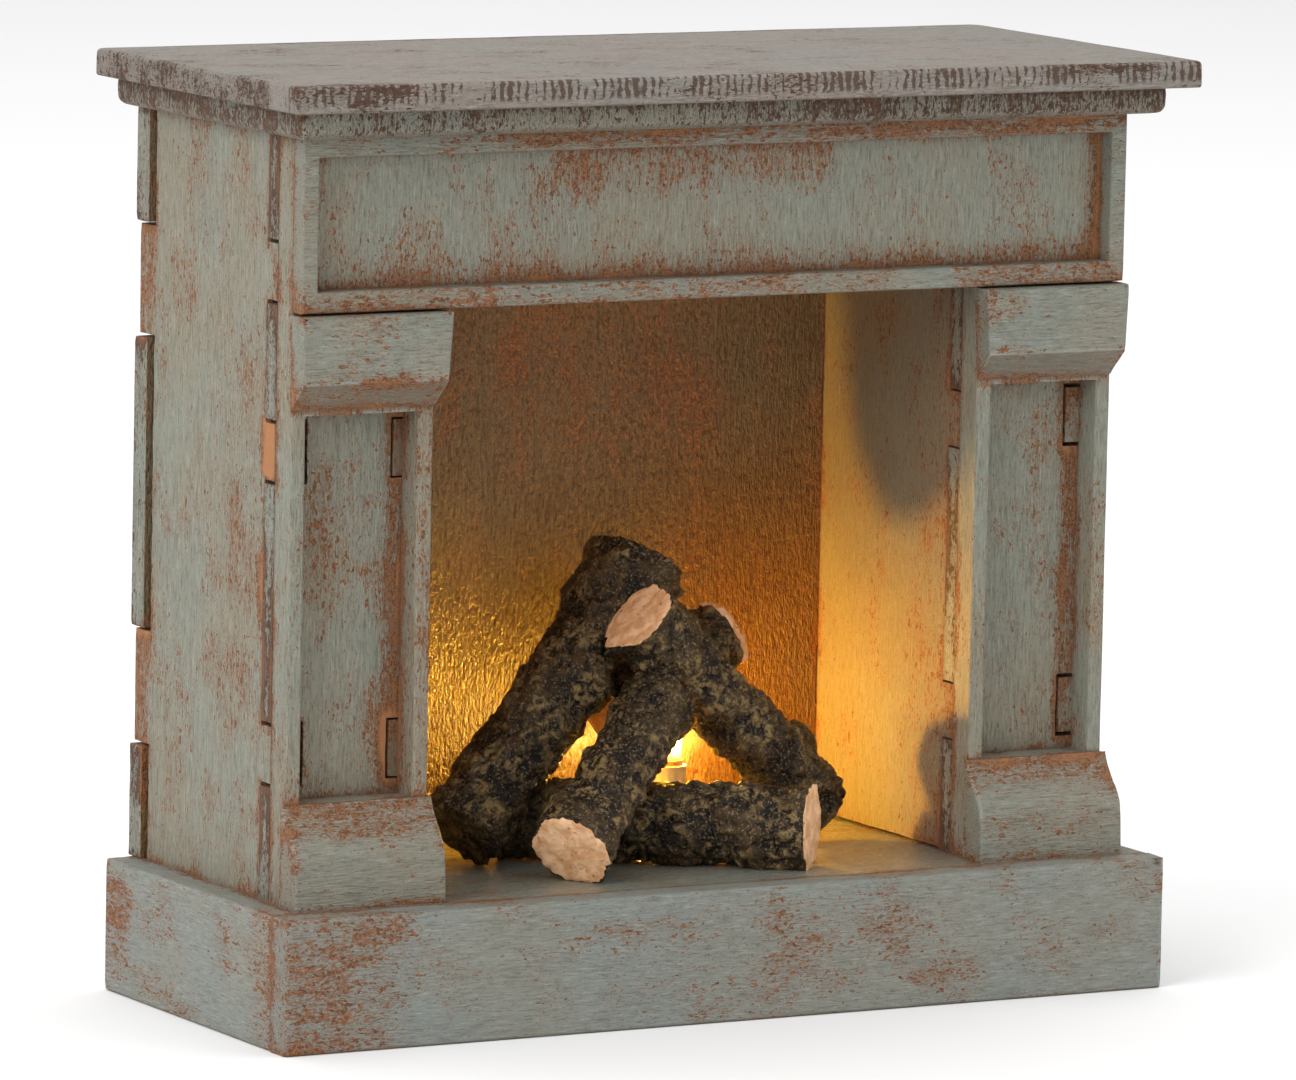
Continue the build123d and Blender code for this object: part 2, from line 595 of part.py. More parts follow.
# ================================================================ switch
KNOB_W, KNOB_H, KNOB_L, KNOB_TRAVEL = 2.8, 2.6, 5.6, 3.0
RIB_PITCH, RIB_W = 0.8, 0.3
SLOT_FIT = 0.4
SLOT_W, SLOT_H = KNOB_W + KNOB_TRAVEL + SLOT_FIT, KNOB_H + SLOT_FIT
SWITCH_DEEP, TERMINAL_L = 6.5, 4.0
PIN_PITCH, PIN_W, PIN_H = 2.5, 0.5, 1.2
SWITCH_BACK = FRAME_Y - SWITCH_DEEP
KNOB_FOOT = FRAME_Y - 1.5
TERMINAL_END = SWITCH_BACK - TERMINAL_L
SCREW_HEAD_R, SCREW_HEAD_T, SCREW_SHANK_L = 1.6, 0.8, 5.5
BEZEL_Y = FRAME_Y + FRAME_T
BEZEL_FACE = BEZEL_Y + BEZEL_T

with BuildPart() as switch_body:
    with BuildSketch(Plane.XZ.offset(-FRAME_Y)):
        with Locations((SWITCH_X, DEVICE_Z)):
            Rectangle(SWITCH_W, SWITCH_H)
    extrude(amount=FRAME_Y - SWITCH_BACK)
    with BuildSketch(Plane.XZ.offset(-FRAME_Y)):
        with Locations((SWITCH_X, DEVICE_Z)):
            Rectangle(SLOT_W, SLOT_H)
    extrude(amount=FRAME_Y - KNOB_FOOT + 0.1, mode=Mode.SUBTRACT)
save(switch_body.part, "switch_body")

with BuildPart() as switch_frame:
    with BuildSketch(Plane.XZ.offset(-BEZEL_Y)):
        with Locations((SWITCH_X, DEVICE_Z)):
            Rectangle(FRAME_W, FRAME_H)
            Rectangle(SLOT_W, SLOT_H, mode=Mode.SUBTRACT)
            with GridLocations(SWITCH_SCREW_PITCH, 1, 2, 1):
                Circle(SWITCH_SCREW_R, mode=Mode.SUBTRACT)
    extrude(amount=FRAME_T)
save(switch_frame.part, "switch_frame")

with BuildPart() as switch_plate:
    with BuildSketch(Plane.XZ.offset(-BEZEL_FACE)):
        with Locations((SWITCH_X, DEVICE_Z)):
            RectangleRounded(BEZEL_W, BEZEL_H, 1.5)
            Rectangle(SLOT_W + SLOT_FIT, SLOT_H + SLOT_FIT, mode=Mode.SUBTRACT)
            with GridLocations(SWITCH_SCREW_PITCH, 1, 2, 1):
                Circle(SWITCH_SCREW_R, mode=Mode.SUBTRACT)
    extrude(amount=BEZEL_T)
    rim = switch_plate.faces().sort_by(Axis.Y)[-1].outer_wire().edges()
    fillet(rim, 0.4)
save(switch_plate.part, "switch_plate")

with BuildPart() as switch_terminals:
    with BuildSketch(Plane.XZ.offset(-SWITCH_BACK)):
        with Locations((SWITCH_X, PLUS_Z)):
            with GridLocations(PIN_PITCH, 1, 3, 1):
                Rectangle(PIN_W, PIN_H)
    extrude(amount=SWITCH_BACK - TERMINAL_END)
save(switch_terminals.part, "switch_terminals")

with BuildPart() as switch_knob:
    with BuildSketch(Plane.XZ.offset(-KNOB_FOOT)):
        with Locations((SWITCH_X - KNOB_TRAVEL / 2, DEVICE_Z)):
            Rectangle(KNOB_W, KNOB_H)
    extrude(amount=-KNOB_L)
    crown = switch_knob.faces().sort_by(Axis.Y)[-1]
    fillet(crown.edges(), 0.3)
    with BuildSketch(Plane.XZ.offset(-(KNOB_FOOT + KNOB_L))):
        with Locations((SWITCH_X - KNOB_TRAVEL / 2, DEVICE_Z)):
            with GridLocations(RIB_PITCH, 1, 3, 1):
                Rectangle(RIB_W, KNOB_H + 1)
    extrude(amount=RIB_W, mode=Mode.SUBTRACT)
save(switch_knob.part, "switch_knob")

with BuildPart() as switch_screws:
    for x in (SWITCH_X - SWITCH_SCREW_PITCH / 2, SWITCH_X + SWITCH_SCREW_PITCH / 2):
        with BuildSketch(Plane.XZ.offset(-(BEZEL_FACE + SCREW_HEAD_T))):
            with Locations((x, DEVICE_Z)):
                Circle(SCREW_HEAD_R)
        extrude(amount=SCREW_HEAD_T)
        with BuildSketch(Plane.XZ.offset(-BEZEL_FACE)):
            with Locations((x, DEVICE_Z)):
                Circle(SWITCH_SCREW_R)
        extrude(amount=SCREW_SHANK_L)
    heads = switch_screws.faces().sort_by(Axis.Y)[-2:]
    fillet(heads.edges(), 0.35)
    with BuildSketch(Plane.XZ.offset(-(BEZEL_FACE + SCREW_HEAD_T))):
        with Locations((SWITCH_X, DEVICE_Z)):
            with GridLocations(SWITCH_SCREW_PITCH, 1, 2, 1):
                Rectangle(1.8, 0.4)
                Rectangle(0.4, 1.8)
    extrude(amount=0.5, mode=Mode.SUBTRACT)
save(switch_screws.part, "switch_screws")

# ================================================================ wiring inside the plinth
WIRE_R = 0.6
MINUS_Y, PLUS_Y, SWITCHED_Y = -24.0, -27.0, 12.0
CATHODE_X, ANODE_X = LED_X - LEAD_PITCH / 2, LED_X + LEAD_PITCH / 2
TAB_END = BOX_FRONT - TAB_OUT
SIDE_PIN_X = SWITCH_X - PIN_PITCH


def wire(points, radii):
    """Insulated lead of straight runs joined by arcs."""
    with BuildPart() as lead:
        with BuildLine() as path:
            FilletPolyline(*points, radius=radii)
        with BuildSketch(Plane(origin=path.line @ 0, z_dir=path.line % 0)):
            Circle(WIRE_R)
        sweep(path=path.line)
    return lead.part


minus_run = [
    (CATHODE_X, LED_Y, LEAD_END),
    (CATHODE_X, LED_Y, MINUS_Z),
    (CATHODE_X, MINUS_Y, MINUS_Z),
    (CELL_1_X, MINUS_Y, MINUS_Z),
    (CELL_1_X, TAB_END, MINUS_Z),
]
plus_run = [
    (CELL_2_X, TAB_END, PLUS_Z),
    (CELL_2_X, PLUS_Y, PLUS_Z),
    (SWITCH_X, PLUS_Y, PLUS_Z),
    (SWITCH_X, TERMINAL_END, PLUS_Z),
]
switched_run = [
    (SIDE_PIN_X, TERMINAL_END, PLUS_Z),
    (SIDE_PIN_X, SWITCHED_Y, PLUS_Z),
    (ANODE_X, SWITCHED_Y, PLUS_Z),
    (ANODE_X, LED_Y, PLUS_Z),
    (ANODE_X, LED_Y, LEAD_END),
]
save(wire(minus_run, [2.0, 3.0, 3.0]), "wire_negative")
save(wire(plus_run, [3.0, 3.0]), "wire_positive")
save(wire(switched_run, [2.2, 2.2, 2.2]), "wire_switched")
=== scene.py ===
import json
from math import cos, pi, radians, sin
from types import SimpleNamespace

import bmesh
import bpy
import numpy as np
from mathutils import Matrix, Vector, noise
from mathutils.bvhtree import BVHTree
from mathutils.kdtree import KDTree

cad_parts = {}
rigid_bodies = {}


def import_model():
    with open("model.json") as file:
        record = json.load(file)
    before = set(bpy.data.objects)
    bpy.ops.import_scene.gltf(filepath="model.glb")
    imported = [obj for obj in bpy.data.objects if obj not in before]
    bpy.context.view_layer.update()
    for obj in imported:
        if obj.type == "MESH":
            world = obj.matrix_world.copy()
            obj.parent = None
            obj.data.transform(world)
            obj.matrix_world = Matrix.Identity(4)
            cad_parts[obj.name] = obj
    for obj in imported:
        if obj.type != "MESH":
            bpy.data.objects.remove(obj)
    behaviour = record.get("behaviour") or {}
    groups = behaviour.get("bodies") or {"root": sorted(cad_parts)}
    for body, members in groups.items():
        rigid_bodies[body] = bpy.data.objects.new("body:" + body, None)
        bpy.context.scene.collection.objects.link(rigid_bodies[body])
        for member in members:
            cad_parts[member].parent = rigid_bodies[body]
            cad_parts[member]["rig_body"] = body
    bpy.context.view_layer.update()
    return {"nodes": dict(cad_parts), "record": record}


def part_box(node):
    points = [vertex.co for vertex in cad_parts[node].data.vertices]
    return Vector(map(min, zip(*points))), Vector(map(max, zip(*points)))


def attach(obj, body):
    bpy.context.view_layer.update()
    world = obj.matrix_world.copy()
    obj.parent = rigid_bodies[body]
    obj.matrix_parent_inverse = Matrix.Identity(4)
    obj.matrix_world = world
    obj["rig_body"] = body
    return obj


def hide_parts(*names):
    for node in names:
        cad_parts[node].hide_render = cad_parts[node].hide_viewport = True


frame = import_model()

MM = 0.001
X, Y, Z = 0, 1, 2

# ------------------------------------------------------------------ camera
CAMERA_AT = Vector((-0.9149, -1.6523, 0.3402))
CAMERA_AZIMUTH, CAMERA_DROP, CAMERA_ROLL = radians(29.004), radians(7.71), radians(1.157)
CAMERA_LENS = 284.9


def add_camera():
    """A long lens, to the left of the front and a little above it."""
    data = bpy.data.cameras.new("camera")
    data.lens = CAMERA_LENS
    data.clip_end = 10
    camera = bpy.data.objects.new("camera", data)
    bpy.context.scene.collection.objects.link(camera)
    turn = Matrix.Rotation(-CAMERA_AZIMUTH, 4, "Z")
    tilt = Matrix.Rotation(pi / 2 - CAMERA_DROP, 4, "X")
    roll = Matrix.Rotation(CAMERA_ROLL, 4, "Z")
    camera.matrix_world = Matrix.Translation(CAMERA_AT) @ turn @ tilt @ roll
    bpy.context.scene.camera = camera


# ------------------------------------------------------------------ node helpers
class Shader:
    """Short names for the shader nodes that the materials here share."""

    def __init__(self, name):
        self.material = bpy.data.materials.new(name)
        self.material.use_nodes = True
        self.tree = self.material.node_tree
        self.principled = self.tree.nodes["Principled BSDF"]

    def node(self, kind, inputs=None, **settings):
        made = self.tree.nodes.new(kind)
        for key, value in settings.items():
            setattr(made, key, value)
        for key, value in (inputs or {}).items():
            self.put(made.inputs[key], value)
        return made

    def put(self, socket, value):
        if isinstance(value, bpy.types.NodeSocket):
            self.tree.links.new(value, socket)
        elif isinstance(value, (tuple, list)) and socket.type == "RGBA":
            socket.default_value = (*value[:3], 1.0)
        else:
            socket.default_value = value

    def maths(self, operation, a, b=0.0, clamp=False):
        made = self.node("ShaderNodeMath", {0: a, 1: b}, operation=operation, use_clamp=clamp)
        return made.outputs[0]

    def vector(self, operation, a, b):
        return self.node("ShaderNodeVectorMath", {0: a, 1: b}, operation=operation).outputs[0]

    def attribute(self, name):
        return self.node("ShaderNodeAttribute", attribute_name=name).outputs["Fac"]

    def noise(self, place, scale, detail=3.0, rough=0.55, twist=0.0):
        inputs = {"Vector": place, "Scale": scale, "Detail": detail, "Roughness": rough, "Distortion": twist}
        return self.node("ShaderNodeTexNoise", inputs).outputs["Fac"]

    def step(self, value, low, high, start=0.0, end=1.0):
        """Smooth step of value from low to high, giving start to end."""
        inputs = {"Value": value, "From Min": low, "From Max": high, "To Min": start, "To Max": end}
        return self.node("ShaderNodeMapRange", inputs, interpolation_type="SMOOTHSTEP").outputs[0]

    def mix(self, share, a, b, blend="MIX"):
        made = self.node("ShaderNodeMix", data_type="RGBA", blend_type=blend)
        self.put(made.inputs["Factor"], share)
        self.put(made.inputs["A"], a)
        self.put(made.inputs["B"], b)
        return made.outputs["Result"]

    def bump(self, height, distance, strength=1.0, under=None):
        made = self.node("ShaderNodeBump", {"Height": height, "Distance": distance, "Strength": strength})
        if under is not None:
            self.put(made.inputs["Normal"], under)
        return made.outputs["Normal"]

    def finish(self, colour, roughness, normal=None, metallic=0.0, specular=0.5):
        self.put(self.principled.inputs["Base Color"], colour)
        self.put(self.principled.inputs["Roughness"], roughness)
        self.put(self.principled.inputs["Metallic"], metallic)
        self.put(self.principled.inputs["Specular IOR Level"], specular)
        if normal is not None:
            self.put(self.principled.inputs["Normal"], normal)
        return self.material


def stretched(shader, place, axis, along, across):
    """Coordinates in features: one unit is along mm on the grain's axis and across mm on the other two."""
    scale = [1.0 / across] * 3
    scale[axis] = 1.0 / along
    return shader.vector("MULTIPLY", place, tuple(scale))


def place_in_mm(shader):
    """Object coordinates in millimetres, shifted by each board's own seed so that no two boards match."""
    here = shader.node("ShaderNodeTexCoord").outputs["Object"]
    in_mm = shader.vector("MULTIPLY", here, (1 / MM, 1 / MM, 1 / MM))
    seed = shader.attribute("seed")
    shift = shader.node("ShaderNodeCombineXYZ", {"X": seed, "Y": seed, "Z": seed}).outputs[0]
    return shader.vector("ADD", in_mm, shift)


# ------------------------------------------------------------------ materials
# Each paint: base, warmer base, high spots, low spots.
SAGE = (0.224, 0.240, 0.200), (0.242, 0.230, 0.178), (0.375, 0.388, 0.328), (0.105, 0.100, 0.074)
COOL_SAGE = (0.228, 0.250, 0.226), (0.240, 0.242, 0.206), (0.370, 0.395, 0.352), (0.124, 0.128, 0.106)
WARM_SAGE = (0.234, 0.242, 0.194), (0.248, 0.228, 0.168), (0.380, 0.378, 0.308), (0.108, 0.098, 0.068)
# The firebox walls' paint: a browner sage than outside.
FIREBOX_SAGE = (0.205, 0.188, 0.132), (0.208, 0.172, 0.110), (0.290, 0.268, 0.190), (0.120, 0.092, 0.052)
# The fireback's paint, browned and darkened to carry the LED's orange light: painted light.
FIREBACK_GLOW_SAGE = (0.152, 0.114, 0.060), (0.142, 0.098, 0.046), (0.260, 0.190, 0.100), (0.056, 0.034, 0.015)
TAUPE = (0.234, 0.216, 0.188), (0.247, 0.212, 0.180), (0.410, 0.385, 0.340), (0.102, 0.086, 0.068)
# Each wood: middle, rubbed bare, dark.
RUST, RUST_PALE, RUST_DEEP = (0.290, 0.120, 0.048), (0.450, 0.200, 0.080), (0.105, 0.044, 0.020)
UMBER, UMBER_DEEP = (0.110, 0.055, 0.030), (0.045, 0.024, 0.015)
# Painted light: the LED's orange glow, multiplied into the fireback's colour where a board is marked for it.
PAINTED_GLOW_TINT = (1.28, 0.80, 0.16)
# A brown stain for worn patches, and the brown of painted shade on undersides.
STAIN, UNDERSIDE_SHADE = (0.215, 0.135, 0.080), (0.120, 0.082, 0.050)
RIDGE_PITCH = 1.7
# Paint holds against this much grit, and chips where the sum of grit and wear passes these levels.
HOLD = 0.218
LIP_LEVELS, CHIP_LEVELS = (0.54, 0.588), (0.596, 0.622)


def saw_ridges(s, along, depth_in, up):
    """Mask of the saw's ridges on a board edge: short dark grooves across it, in patches along it."""
    drift = s.noise(s.node("ShaderNodeCombineXYZ", {"X": along, "Y": up}).outputs[0], 1 / 5.0, 3.0, 0.5)
    phase = s.maths("ADD", s.maths("MULTIPLY", along, 2 * pi / RIDGE_PITCH), s.maths("MULTIPLY", drift, 7.0))
    wave = s.maths("MULTIPLY", s.maths("SINE", phase), 0.13)
    fine, tall = s.maths("MULTIPLY", along, 1.5), s.maths("MULTIPLY", up, 0.6)
    thin = s.node("ShaderNodeCombineXYZ", {"X": fine, "Y": tall}).outputs[0]
    ragged = s.noise(thin, 1.0, 4.0, 0.7)
    patch = s.noise(s.node("ShaderNodeCombineXYZ", {"X": along}).outputs[0], 1 / 11.0, 2.0, 0.5)
    level = s.maths("ADD", s.maths("ADD", wave, ragged), s.step(patch, 0.35, 0.62, -0.14, 0.10))
    return s.maths("MULTIPLY", s.step(level, 0.545, 0.590), depth_in)


def paint_noises(s, place, grain):
    """The noises that the paint is made of, most of them stretched along the grain."""
    return SimpleNamespace(
        brush=s.noise(stretched(s, place, grain, 3.6, 0.34), 1.0, 4.0, 0.65),
        pores=s.noise(stretched(s, place, grain, 2.6, 0.40), 1.0, 4.0, 0.65),
        runs=s.noise(stretched(s, place, grain, 12.0, 1.3), 1.0, 3.0, 0.6),
        clouds=s.noise(place, 1 / 26, 3.0, 0.5),
        patches=s.noise(stretched(s, place, grain, 16.0, 8.0), 1.0, 4.0, 0.6),
        flakes=s.noise(stretched(s, place, grain, 1.5, 0.75), 1.0, 3.0, 0.6, 0.4),
        specks=s.noise(place, 1 / 0.45, 3.0, 0.6),
        freckles=s.noise(stretched(s, place, grain, 0.9, 0.3), 1.0, 3.0, 0.75),
    )


def wear_of(s, n, wear):
    """How worn the paint is: more in patches, near edges and seams, and where a board is rubbed."""
    near_edge = s.step(s.attribute("edge"), 0.0, 2.6, 1.0, 0.0)
    near_seam = s.step(s.attribute("seam"), 0.0, 2.4, 1.0, 0.0)
    field = s.step(n.patches, 0.42, 0.70, -0.035 + wear, 0.075 + wear)
    field = s.maths("ADD", field, s.maths("MULTIPLY", near_edge, s.step(n.patches, 0.38, 0.62, 0.0, 0.10)))
    field = s.maths("ADD", field, s.maths("MULTIPLY", near_seam, s.step(n.clouds, 0.36, 0.62, 0.0, 0.11)))
    rubbed = s.maths("MULTIPLY", s.attribute("rub"), s.step(n.runs, 0.30, 0.60, 0.55, 1.0))
    return s.maths("ADD", field, rubbed)


def chips_of(s, n, field):
    """Masks of the chips and of the lip of paint round each of them."""
    grit = s.maths("ADD", s.maths("MULTIPLY", n.flakes, 0.85), s.maths("MULTIPLY", n.pores, 0.38))
    grit = s.maths("ADD", grit, s.maths("MULTIPLY", n.runs, 0.15))
    level = s.maths("ADD", s.maths("SUBTRACT", grit, HOLD), field)
    chip = s.step(level, *CHIP_LEVELS)
    lip = s.maths("SUBTRACT", s.step(level, *LIP_LEVELS), chip, clamp=True)
    return chip, lip


def paint_coat(s, n, tones, field, lip):
    """Colour of the paint alone: brush marks, runs, stains, painted shade on the underside and a painted
    highlight on the edges.
    """
    base, warm, pale, deep = tones
    paint = s.mix(s.step(n.clouds, 0.38, 0.62), base, warm)
    paint = s.mix(s.step(n.runs, 0.55, 0.75, 0.0, 0.22), paint, pale)
    paint = s.mix(s.step(n.runs, 0.45, 0.25, 0.0, 0.35), paint, deep)
    paint = s.mix(s.step(n.brush, 0.48, 0.30, 0.0, 0.75), paint, deep)
    paint = s.mix(s.step(n.brush, 0.52, 0.70, 0.0, 0.55), paint, pale)
    paint = s.mix(s.step(n.flakes, 0.44, 0.32, 0.0, 0.35), paint, deep)
    # Painted shade: faces that look down turn darker and browner.
    facing = s.node("ShaderNodeNewGeometry").outputs["Normal"]
    facing_up = s.node("ShaderNodeSeparateXYZ", {0: facing}).outputs[2]
    paint = s.mix(s.step(facing_up, -0.15, -0.75, 0.0, 0.50), paint, UNDERSIDE_SHADE)
    paint = s.mix(s.step(field, -0.02, 0.16, 0.0, 0.24), paint, STAIN)
    paint = s.mix(s.maths("MULTIPLY", lip, 0.25), paint, pale)
    # Painted highlight: paler paint within half a millimetre of an edge.
    return s.mix(s.step(s.attribute("edge"), 0.0, 0.45, 0.35, 0.0), paint, pale)


def hammer(s, place, grain, depth, colour, normal, low_colour):
    """Dents of a given depth in mm, dark at the bottom, and the LED's orange glow painted in where a board
    is marked for it.
    """
    dents = s.noise(stretched(s, place, grain, 1.5, 0.75), 1.0, 4.0, 0.6)
    normal = s.bump(dents, depth * MM, 1.0, normal)
    colour = s.mix(s.step(dents, 0.48, 0.36, 0.0, 0.7), colour, low_colour)
    # Painted light: the LED's glow multiplied into the colour.
    return s.mix(s.attribute("painted_glow"), colour, PAINTED_GLOW_TINT, "MULTIPLY"), normal


def ridge(s, node, n, colour, normal):
    """Saw ridges on the upper part of a board's front edge, and in patches on its left end."""
    here = s.node("ShaderNodeTexCoord").outputs["Object"]
    in_mm = s.node("ShaderNodeSeparateXYZ", {0: s.vector("MULTIPLY", here, (1 / MM,) * 3)})
    across, depth, up = in_mm.outputs
    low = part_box(node)[0] / MM
    upper = s.step(up, low.z + 0.9, low.z + 1.9)
    front = s.maths("MULTIPLY", s.step(depth, low.y + 1.1, low.y + 0.3), upper)
    end = s.maths("MULTIPLY", s.step(across, low.x + 1.0, low.x + 0.3), s.step(n.patches, 0.42, 0.60))
    grooves = s.maths("MAXIMUM", saw_ridges(s, across, front, up), saw_ridges(s, depth, end, up))
    colour = s.mix(s.maths("MULTIPLY", grooves, 0.9), colour, s.mix(n.specks, UMBER_DEEP, UMBER))
    return colour, s.bump(s.maths("SUBTRACT", 1.0, grooves), 0.25 * MM, 0.9, normal)


def distressed_paint(
    name, grain, tones, woods, rough=0.60, relief=1.0, ridged=None, wear=0.0, hammered=0.0, specular=0.35
):
    """Brushed matt paint over brown wood, rubbed through in small flakes along the grain and near edges."""
    wood_mid, wood_pale, wood_deep = woods
    s = Shader(name)
    place = place_in_mm(s)
    n = paint_noises(s, place, grain)
    field = wear_of(s, n, wear)
    chip, lip = chips_of(s, n, field)

    paint = paint_coat(s, n, tones, field, lip)
    spots = s.maths("ADD", n.freckles, s.maths("MULTIPLY", field, 0.9))
    paint = s.mix(s.step(spots, 0.590, 0.635, 0.0, 0.80), paint, s.mix(0.45, wood_mid, wood_deep))
    wood = s.mix(s.step(n.specks, 0.40, 0.60), wood_deep, wood_mid)
    wood = s.mix(s.step(field, 0.14, 0.42, 0.0, 0.85), wood, wood_pale)
    colour = s.mix(s.maths("MULTIPLY", chip, 0.93), paint, wood)
    # Darker umber within 0.8 mm of another board, broken up by the brush marks.
    seam_darkening = s.step(s.attribute("seam"), 0.0, 0.8, 0.55, 0.0)
    colour = s.mix(s.maths("MULTIPLY", seam_darkening, s.step(n.brush, 0.35, 0.6, 0.5, 1.0)), colour, UMBER)

    normal = s.bump(n.brush, 0.32 * MM * relief, 0.9)
    normal = s.bump(n.pores, 0.26 * MM * relief, 0.9, normal)
    normal = s.bump(n.specks, 0.12 * MM * relief, 0.8, normal)
    normal = s.bump(s.maths("SUBTRACT", 1.0, chip), 0.08 * MM, 0.8, normal)
    if hammered:
        colour, normal = hammer(s, place, grain, hammered, colour, normal, wood_deep)
    if ridged:
        colour, normal = ridge(s, ridged, n, colour, normal)
    roughness = s.step(chip, 0.0, 1.0, rough, rough + 0.18)
    return s.finish(colour, roughness, normal, specular=specular)


def bare_ply(name):
    """Unpainted plywood: pale wood with fine darker pores along X."""
    s = Shader(name)
    place = place_in_mm(s)
    pores = s.noise(stretched(s, place, X, 7.0, 0.45), 1.0, 4.0, 0.6)
    figure = s.noise(stretched(s, place, X, 60.0, 7.0), 1.0, 2.0, 0.5, 0.8)
    colour = s.mix(figure, (0.50, 0.32, 0.17), (0.62, 0.43, 0.25))
    colour = s.mix(s.step(pores, 0.46, 0.30), colour, (0.22, 0.12, 0.06))
    return s.finish(colour, 0.7, s.bump(pores, 0.08 * MM, 0.5), specular=0.3)


def bark(name):
    """Charred bark: brown-black hollows, olive-brown plates, a broken gloss."""
    s = Shader(name)
    place = place_in_mm(s)
    relief = s.attribute("relief")
    plates = s.noise(place, 1 / 2.2, 5.0, 0.68, 0.6)
    grit = s.noise(place, 1 / 0.55, 4.0, 0.70)
    large = s.noise(place, 1 / 7.0, 3.0, 0.55)
    high = s.maths("ADD", s.maths("MULTIPLY", relief, 0.5), s.maths("MULTIPLY", plates, 0.5))
    colour = s.mix(s.step(high, 0.40, 0.60), (0.005, 0.003, 0.001), (0.066, 0.038, 0.014))
    olive = s.maths("MULTIPLY", s.step(plates, 0.48, 0.60), s.step(large, 0.44, 0.58))
    colour = s.mix(olive, colour, (0.270, 0.180, 0.070))
    colour = s.mix(s.maths("MULTIPLY", s.step(grit, 0.54, 0.64), 0.7), colour, (0.36, 0.24, 0.12))
    fine = s.bump(grit, 0.30 * MM, 1.0)
    coarse = s.bump(plates, 1.2 * MM, 1.0, fine)
    gloss = s.step(plates, 0.35, 0.65, 0.20, 0.62)
    return s.finish(colour, gloss, coarse, specular=0.34)


def cut_wood(name):
    """Sawn end: pale peach wood with short brown pits."""
    s = Shader(name)
    place = place_in_mm(s)
    pits = s.noise(place, 1 / 0.7, 3.0, 0.6)
    tone = s.noise(place, 1 / 3.0, 4.0, 0.6, 0.4)
    colour = s.mix(s.step(tone, 0.35, 0.65), (0.72, 0.38, 0.18), (0.98, 0.63, 0.37))
    colour = s.mix(s.step(pits, 0.62, 0.70), colour, (0.24, 0.10, 0.045))
    rough = s.bump(tone, 0.5 * MM, 0.6, s.bump(pits, 0.2 * MM, 0.7))
    return s.finish(colour, 0.75, rough, specular=0.3)


def moulded_plastic(name, colour, gloss=0.45):
    """Fine spark-eroded plastic."""
    s = Shader(name)
    place = place_in_mm(s)
    grain = s.noise(place, 1 / 0.18, 3.0, 0.6)
    smudge = s.noise(place, 1 / 9.0, 3.0, 0.5)
    worn = tuple(min(1.0, c * 1.8 + 0.01) for c in colour)
    tint = s.mix(s.step(smudge, 0.3, 0.7, 0.0, 0.35), colour, worn)
    return s.finish(tint, s.step(smudge, 0.3, 0.7, gloss, gloss + 0.14), s.bump(grain, 0.02 * MM, 0.5))


def plated_metal(name, colour, rough=0.28):
    """Plated sheet or screw metal with fine drawn lines."""
    s = Shader(name)
    place = place_in_mm(s)
    lines = s.noise(stretched(s, place, X, 4.0, 0.10), 1.0, 3.0, 0.6)
    stain = s.noise(place, 1 / 1.5, 3.0, 0.6)
    tint = s.mix(s.step(stain, 0.45, 0.75, 0.0, 0.5), colour, tuple(c * 0.6 for c in colour))
    drawn = s.bump(lines, 0.01 * MM, 0.5)
    return s.finish(tint, s.step(stain, 0.3, 0.7, rough, rough + 0.2), drawn, metallic=1.0)


def cell_sleeve(name):
    """Plain dark sleeve of a cell, with fine scuffs along it."""
    s = Shader(name)
    place = place_in_mm(s)
    scuffs = s.noise(stretched(s, place, Y, 6.0, 0.3), 1.0, 3.0, 0.6)
    colour = s.mix(s.step(scuffs, 0.55, 0.75, 0.0, 0.25), (0.012, 0.013, 0.015), (0.12, 0.12, 0.12))
    return s.finish(colour, s.step(scuffs, 0.3, 0.7, 0.22, 0.42), s.bump(scuffs, 0.01 * MM, 0.4))


def lead_insulation(name, colour):
    """Soft wire insulation with a faint uneven surface."""
    s = Shader(name)
    place = place_in_mm(s)
    ripple = s.noise(place, 1 / 0.8, 3.0, 0.5)
    tint = s.mix(s.step(ripple, 0.35, 0.7, 0.0, 0.5), colour, tuple(c * 0.55 for c in colour))
    return s.finish(tint, s.step(ripple, 0.3, 0.7, 0.34, 0.5), s.bump(ripple, 0.05 * MM, 0.4))


# Colours of the light: in the firebox, close to the fireback, and in the lens itself.
GLOW, GLOW_HOT, GLOW_LENS = (1.0, 0.49, 0.030), (1.0, 0.66, 0.22), (1.0, 0.62, 0.22)
LENS_GLOW = 30.0
HALO_WATTS = 0.009


def lit_lens(name):
    """Epoxy lens of the lit LED: brightest at the top of its dome."""
    s = Shader(name)
    here = s.node("ShaderNodeTexCoord").outputs["Object"]
    height = s.node("ShaderNodeSeparateXYZ", {0: here}).outputs[2]
    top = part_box("led")[1].z
    rise = s.step(height, top - 8 * MM, top - 2 * MM)
    swirl = s.noise(s.vector("MULTIPLY", here, (1 / MM, 1 / MM, 1 / MM)), 1 / 1.2, 2.0, 0.5)
    s.put(s.principled.inputs["Emission Color"], s.mix(swirl, GLOW, GLOW_LENS))
    s.put(s.principled.inputs["Emission Strength"], s.maths("MULTIPLY", rise, LENS_GLOW))
    return s.finish((0.9, 0.6, 0.3), 0.15)


# ------------------------------------------------------------------ boards
PAINTED = [
    "mantel_shelf", "cornice_board", "frieze_frame", "portal_board", "front_panel", "back_panel",
    "side_panel_left", "side_panel_right", "firebox_wall_left", "firebox_wall_right",
    "pillar_cap_left", "pillar_cap_right", "pillar_base_left", "pillar_base_right",
    "plinth_front", "plinth_side_left", "plinth_side_right", "plinth_back", "hearth_board",
]
BOARD_PITCH = 2.0 * MM
BLOCK_PITCH = 1.0 * MM
